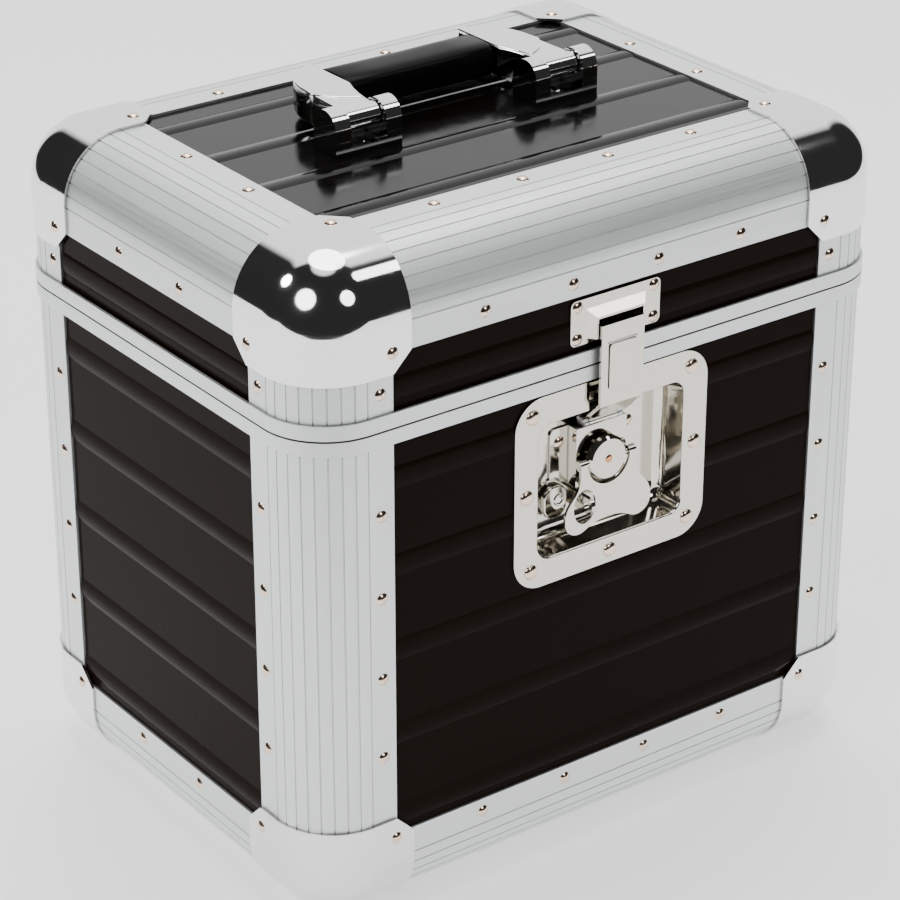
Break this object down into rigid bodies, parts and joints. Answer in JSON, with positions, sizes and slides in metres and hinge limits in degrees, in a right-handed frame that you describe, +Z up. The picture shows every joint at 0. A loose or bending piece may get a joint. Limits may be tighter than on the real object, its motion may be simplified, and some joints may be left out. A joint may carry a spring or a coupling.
{
  "type": "record carrying case",
  "caption": "Aluminium-framed laminate carrying case with ball corners, rear-hinged lid, recessed butterfly draw latch and folding carry handle.",
  "frame": {"origin": "middle of the footprint, on the plane of the bottom ball corners that the case stands on", "axes": "+X along the front to the right as seen from the latch side, -Y the latch side, +Z up"},
  "size_m": [0.371, 0.2849, 0.3848],
  "materials": {
    "anodised_aluminium": "satin anodised extrusion with fine drawn grooves",
    "chromed_steel_corner": "pressed steel, mirror chrome",
    "laminated_plywood": "brownish black high pressure laminate on plywood, glossy",
    "foam": "charcoal closed-cell foam",
    "nickel_rivet": "nickel plated, domed",
    "moulded_grip": "black moulded plastic",
    "chromed_zinc": "die-cast zinc, mirror chrome",
    "zinc_plated_steel": "zinc plated",
    "nickel_plated_steel": "pressed steel, bright nickel plate"
  },
  "bodies": {
    "case_base": {"base_corner_back_left": "chromed_steel_corner", "base_corner_back_right": "chromed_steel_corner", "base_corner_front_left": "chromed_steel_corner", "base_corner_front_right": "chromed_steel_corner", "base_foam": "foam", "base_panel_back": "laminated_plywood", "base_panel_bottom": "laminated_plywood", "base_panel_front": "laminated_plywood", "base_panel_left": "laminated_plywood", "base_panel_right": "laminated_plywood", "base_post_back_left": "anodised_aluminium", "base_post_back_right": "anodised_aluminium", "base_post_front_left": "anodised_aluminium", "base_post_front_right": "anodised_aluminium", "base_rail_back": "anodised_aluminium", "base_rail_front": "anodised_aluminium", "base_rail_left": "anodised_aluminium", "base_rail_right": "anodised_aluminium", "base_rim": "anodised_aluminium", "base_rivets": "nickel_rivet", "hinge_base_leaves": "zinc_plated_steel", "hinge_pins": "zinc_plated_steel", "latch_bracket": "nickel_plated_steel", "latch_dish": "nickel_plated_steel", "latch_rivets": "nickel_rivet", "padlock_staple": "nickel_plated_steel"},
    "lid": {"handle_bracket_left": "chromed_zinc", "handle_bracket_right": "chromed_zinc", "handle_pins": "chromed_zinc", "handle_screws": "nickel_rivet", "hinge_lid_leaves": "zinc_plated_steel", "latch_keeper": "nickel_plated_steel", "lid_corner_back_left": "chromed_steel_corner", "lid_corner_back_right": "chromed_steel_corner", "lid_corner_front_left": "chromed_steel_corner", "lid_corner_front_right": "chromed_steel_corner", "lid_foam": "foam", "lid_panel_back": "laminated_plywood", "lid_panel_front": "laminated_plywood", "lid_panel_left": "laminated_plywood", "lid_panel_right": "laminated_plywood", "lid_panel_top": "laminated_plywood", "lid_post_back_left": "anodised_aluminium", "lid_post_back_right": "anodised_aluminium", "lid_post_front_left": "anodised_aluminium", "lid_post_front_right": "anodised_aluminium", "lid_rail_back": "anodised_aluminium", "lid_rail_front": "anodised_aluminium", "lid_rail_left": "anodised_aluminium", "lid_rail_right": "anodised_aluminium", "lid_rim": "anodised_aluminium", "lid_rivets": "nickel_rivet"},
    "handle": {"handle_arm_left": "chromed_zinc", "handle_arm_right": "chromed_zinc", "handle_grip": "moulded_grip"},
    "rotor": {"latch_rotor": "nickel_plated_steel"},
    "wing": {"latch_wing": "nickel_plated_steel"},
    "slider": {"latch_slider": "zinc_plated_steel"},
    "hook": {"latch_hook": "nickel_plated_steel"}
  },
  "joints": [
    {"name": "lid_hinge", "type": "hinge", "parent": "case_base", "child": "lid", "pos_m": [0, 0.1401, 0.277], "axis": [-1, 0, 0], "range_deg": [0, 100]},
    {"name": "handle_swing", "type": "hinge", "parent": "lid", "child": "handle", "pos_m": [0, -0.007, 0.3774], "axis": [1, 0, 0], "range_deg": [0, 90]},
    {"name": "rotor_turn", "type": "hinge", "parent": "case_base", "child": "rotor", "pos_m": [0, -0.136, 0.2195], "axis": [0, -1, 0], "range_deg": [0, 90]},
    {"name": "wing_flip", "type": "hinge", "parent": "rotor", "child": "wing", "pos_m": [0, -0.13115, 0.2195], "axis": [-1, 0, 0], "range_deg": [0, 90]},
    {"name": "hook_lift", "type": "slide", "parent": "case_base", "child": "slider", "axis": [0, 0, 1], "range_m": [0, 0.008]},
    {"name": "hook_tilt", "type": "hinge", "parent": "slider", "child": "hook", "pos_m": [0, -0.1265, 0.24], "axis": [1, 0, 0], "range_deg": [0, 12]}
  ],
  "couplings": [
    {"joint": "rotor_turn", "follows": "hook_lift", "rad_per_m": 196.35},
    {"joint": "wing_flip", "follows": "hook_lift", "rad_per_m": 196.35},
    {"joint": "hook_tilt", "follows": "hook_lift", "rad_per_m": 26.18}
  ]
}
